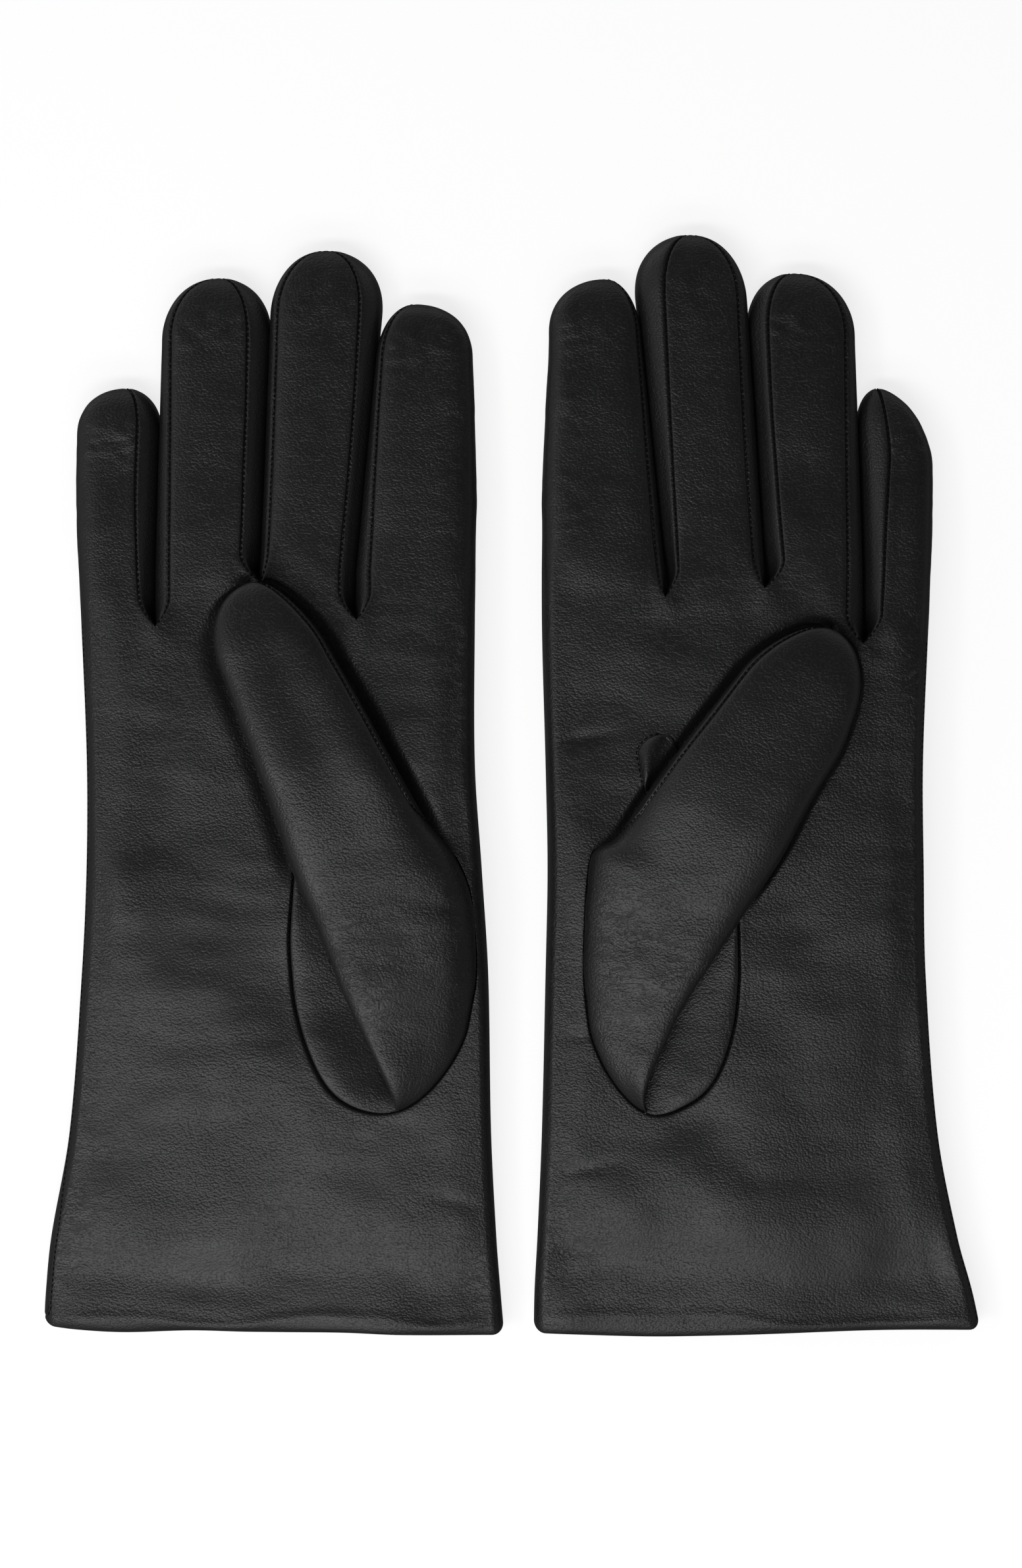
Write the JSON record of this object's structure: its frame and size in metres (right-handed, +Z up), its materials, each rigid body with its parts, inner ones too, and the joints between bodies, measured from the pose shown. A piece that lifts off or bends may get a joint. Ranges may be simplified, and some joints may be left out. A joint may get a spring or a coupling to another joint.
{
  "type": "pair of leather gloves",
  "caption": "Pair of plain black lined leather dress gloves lying palm up, with fourchettes between the fingers, set-in thumbs folded over the palms and open hemmed cuffs.",
  "frame": {"origin": "on the table under the middle of the pair", "axes": "+Y along the gloves towards the fingertips, +Z up out of the palms, X across the pair"},
  "size_m": [0.2309, 0.271, 0.0267],
  "materials": {
    "leather": "fine-grained black nappa, soft sheen",
    "lining": "fine dark knit"
  },
  "bodies": {
    "right_hand": {"right_palm_panel": "leather", "right_back_panel": "leather", "right_cuff_hem": "leather", "right_hand_lining": "lining", "right_thumb_base": "leather", "right_thumb_gusset": "leather", "right_thumb_quirk": "leather"},
    "right_index": {"right_index_front": "leather", "right_index_back": "leather", "right_index_lining": "lining", "right_index_fourchette_middle_side": "leather"},
    "right_middle": {"right_middle_front": "leather", "right_middle_back": "leather", "right_middle_lining": "lining", "right_middle_fourchette_ring_side": "leather", "right_middle_fourchette_index_side": "leather"},
    "right_ring": {"right_ring_front": "leather", "right_ring_back": "leather", "right_ring_lining": "lining", "right_ring_fourchette_little_side": "leather", "right_ring_fourchette_middle_side": "leather"},
    "right_little": {"right_little_front": "leather", "right_little_back": "leather", "right_little_lining": "lining", "right_little_fourchette_ring_side": "leather"},
    "right_thumb": {"right_thumb_front": "leather", "right_thumb_under": "leather", "right_thumb_lining": "lining"},
    "left_hand": {"left_palm_panel": "leather", "left_back_panel": "leather", "left_cuff_hem": "leather", "left_hand_lining": "lining", "left_thumb_base": "leather", "left_thumb_gusset": "leather", "left_thumb_quirk": "leather"},
    "left_index": {"left_index_front": "leather", "left_index_back": "leather", "left_index_lining": "lining", "left_index_fourchette_middle_side": "leather"},
    "left_middle": {"left_middle_front": "leather", "left_middle_back": "leather", "left_middle_lining": "lining", "left_middle_fourchette_ring_side": "leather", "left_middle_fourchette_index_side": "leather"},
    "left_ring": {"left_ring_front": "leather", "left_ring_back": "leather", "left_ring_lining": "lining", "left_ring_fourchette_little_side": "leather", "left_ring_fourchette_middle_side": "leather"},
    "left_little": {"left_little_front": "leather", "left_little_back": "leather", "left_little_lining": "lining", "left_little_fourchette_ring_side": "leather"},
    "left_thumb": {"left_thumb_front": "leather", "left_thumb_under": "leather", "left_thumb_lining": "lining"}
  },
  "joints": [
    {"name": "right_index_flex", "type": "hinge", "parent": "right_hand", "child": "right_index", "pos_m": [-0.02328, 0.0417, 0.0131], "axis": [1, 0, 0], "range_deg": [0, 80]},
    {"name": "right_middle_flex", "type": "hinge", "parent": "right_hand", "child": "right_middle", "pos_m": [-0.0497, 0.0509, 0.0131], "axis": [1, 0, 0], "range_deg": [0, 80]},
    {"name": "right_ring_flex", "type": "hinge", "parent": "right_hand", "child": "right_ring", "pos_m": [-0.0744, 0.0509, 0.0131], "axis": [1, 0, 0], "range_deg": [0, 80]},
    {"name": "right_little_flex", "type": "hinge", "parent": "right_hand", "child": "right_little", "pos_m": [-0.09673, 0.0401, 0.0131], "axis": [1, 0, 0], "range_deg": [0, 80]},
    {"name": "right_thumb_lift", "type": "hinge", "parent": "right_hand", "child": "right_thumb", "pos_m": [-0.04775, -0.00912, 0.0268], "axis": [0.9654, 0.2607, 0], "range_deg": [0, 70]},
    {"name": "pair_spread", "type": "slide", "parent": "right_hand", "child": "left_hand", "axis": [1, 0, 0], "range_m": [0, 0.15]},
    {"name": "left_index_flex", "type": "hinge", "parent": "left_hand", "child": "left_index", "pos_m": [0.0226, 0.0473, 0.0131], "axis": [1, 0, 0], "range_deg": [0, 80]},
    {"name": "left_middle_flex", "type": "hinge", "parent": "left_hand", "child": "left_middle", "pos_m": [0.05, 0.0495, 0.0131], "axis": [1, 0, 0], "range_deg": [0, 80]},
    {"name": "left_ring_flex", "type": "hinge", "parent": "left_hand", "child": "left_ring", "pos_m": [0.0743, 0.0495, 0.0131], "axis": [1, 0, 0], "range_deg": [0, 80]},
    {"name": "left_little_flex", "type": "hinge", "parent": "left_hand", "child": "left_little", "pos_m": [0.09467, 0.0359, 0.0131], "axis": [1, 0, 0], "range_deg": [0, 80]},
    {"name": "left_thumb_lift", "type": "hinge", "parent": "left_hand", "child": "left_thumb", "pos_m": [0.05996, -0.01632, 0.0268], "axis": [0.928, -0.3725, 0], "range_deg": [0, 70]}
  ]
}
